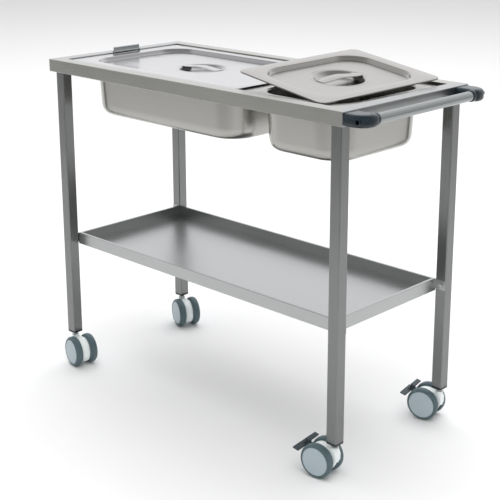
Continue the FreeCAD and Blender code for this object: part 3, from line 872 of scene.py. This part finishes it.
FLOOR_SIZE = 14.0
FLOOR_PALE = (0.88, 0.88, 0.88)
# Floor colour far off: painted shade standing in for the falloff of the studio light.
FLOOR_PAINTED_SHADE = (0.42, 0.42, 0.415)
AWAY_FROM_CAMERA = Vector((-0.69, 0.72, 0.0))
ACROSS_VIEW = Vector((0.72, 0.69, 0.0))
SIDE_SLOPES = (-0.8, 0.5)
# Range over which the floor's painted shade sets in.
FLOOR_PAINTED_SHADE_RANGE = (-3.2, -1.2)
BRIGHT_SKY_WAY = (-0.54, 0.81, 0.22)
SKY_FADE = (0.56, 0.88)
SKY_DULL = (0.40, 0.40, 0.395)
SKY_BRIGHT = (1.25, 1.25, 1.27)
HIGH_SKY_WAY = (0.24, -0.25, 1.0)
LOW_SKY_FADE = (0.72, 0.40)
LOW_SKY_LIGHT = 0.80
CAMERA_PLACE = (1.675, -1.729, 1.142)
CAMERA_DIP = 15.036
CAMERA_TURN = 43.742
CAMERA_LENS = 82.88
CAMERA_SHIFT = (-0.0228, -0.14)


def add_floor():
    """Pale floor with painted shade: its colour grows darker far off in front and to both sides, a painted
    falloff of light.
    """
    builder = bmesh.new()
    bmesh.ops.create_grid(builder, x_segments=24, y_segments=24, size=FLOOR_SIZE)
    mesh = bpy.data.meshes.new("floor")
    builder.to_mesh(mesh)
    builder.free()
    floor = bpy.data.objects.new("floor", mesh)
    bpy.context.scene.collection.objects.link(floor)
    material, tree, shader = new_material("floor_pale_painted_shade")
    place = tree.nodes.new("ShaderNodeTexCoord").outputs["Object"]
    ahead = dot_product(tree, place, AWAY_FROM_CAMERA)
    sides = [dot_product(tree, place, ACROSS_VIEW * slope) for slope in SIDE_SLOPES]
    aside = calculate(tree, "MAXIMUM", *sides)
    # Painted shade: the floor's colour darkens in front and to the sides, away from the pool of light
    # round the trolley.
    painted_shade = smooth_step(tree, calculate(tree, "SUBTRACT", ahead, aside), *FLOOR_PAINTED_SHADE_RANGE)
    tree.links.new(tint(tree, painted_shade, FLOOR_PAINTED_SHADE, FLOOR_PALE), shader.inputs["Base Color"])
    shader.inputs["Roughness"].default_value = 0.9
    shader.inputs["Specular IOR Level"].default_value = 0.1
    mesh.materials.append(material)


def add_area_light(name, place, target, size, power):
    """Soft square light that the steel doesn't mirror."""
    data = bpy.data.lights.new(name, "AREA")
    data.size = size
    data.energy = power
    light = bpy.data.objects.new(name, data)
    light.location = place
    light.rotation_euler = (Vector(target) - Vector(place)).to_track_quat("-Z", "Y").to_euler()
    light.visible_glossy = False
    bpy.context.scene.collection.objects.link(light)


def add_world():
    """Studio surroundings: bright behind the trolley, pale all round, darker high up in front."""
    world = bpy.data.worlds.new("studio")
    bpy.context.scene.world = world
    world.use_nodes = True
    tree = world.node_tree
    background = tree.nodes["Background"]
    way = tree.nodes.new("ShaderNodeTexCoord").outputs["Generated"]
    half = tree.nodes.new("ShaderNodeMath")
    half.operation = "MULTIPLY_ADD"
    half.inputs[1].default_value = 0.5
    half.inputs[2].default_value = 0.5
    tree.links.new(dot_product(tree, way, BRIGHT_SKY_WAY), half.inputs[0])
    sky = tint(tree, half.outputs["Value"], SKY_DULL, SKY_BRIGHT, *SKY_FADE)
    low_sky = smooth_step(tree, dot_product(tree, way, HIGH_SKY_WAY), *LOW_SKY_FADE, LOW_SKY_LIGHT)
    brightest = tree.nodes.new("ShaderNodeMix")
    brightest.data_type = "RGBA"
    brightest.blend_type = "LIGHTEN"
    brightest.inputs["Factor"].default_value = 1.0
    tree.links.new(sky, brightest.inputs["A"])
    tree.links.new(low_sky, brightest.inputs["B"])
    tree.links.new(brightest.outputs["Result"], background.inputs["Color"])
    background.inputs["Strength"].default_value = 1.0


def add_camera():
    """Long lens from the right front, looking a little down."""
    data = bpy.data.cameras.new("camera")
    data.sensor_width = 36.0
    data.lens = CAMERA_LENS
    data.shift_x, data.shift_y = CAMERA_SHIFT
    camera = bpy.data.objects.new("camera", data)
    camera.location = CAMERA_PLACE
    camera.rotation_euler = (math.radians(90 - CAMERA_DIP), 0, math.radians(CAMERA_TURN))
    bpy.context.scene.collection.objects.link(camera)
    bpy.context.scene.camera = camera


finish_kept_nodes()
add_pan("pan_large", PAN_GRIP_RIM)
add_pan("pan_small", PAN_RIM)
add_large_lid()
add_small_lid()
for handle_side in ("front", "rear"):
    add_bracket(handle_side)
for castor_name in CASTORS:
    add_leg_cap(castor_name)
    add_housing(castor_name)
    for wheel_side in ("left", "right"):
        add_wheel(castor_name, wheel_side)
add_floor()
add_world()
add_area_light("overhead", (-1.6, 1.7, 4.5), (-1.2, 1.2, 0.0), 6.0, 150)
add_area_light("front_fill", (1.3, -1.2, 3.6), (0.3, -0.3, 0.2), 3.5, 70)
add_camera()
bpy.context.scene.view_settings.view_transform = "Standard"
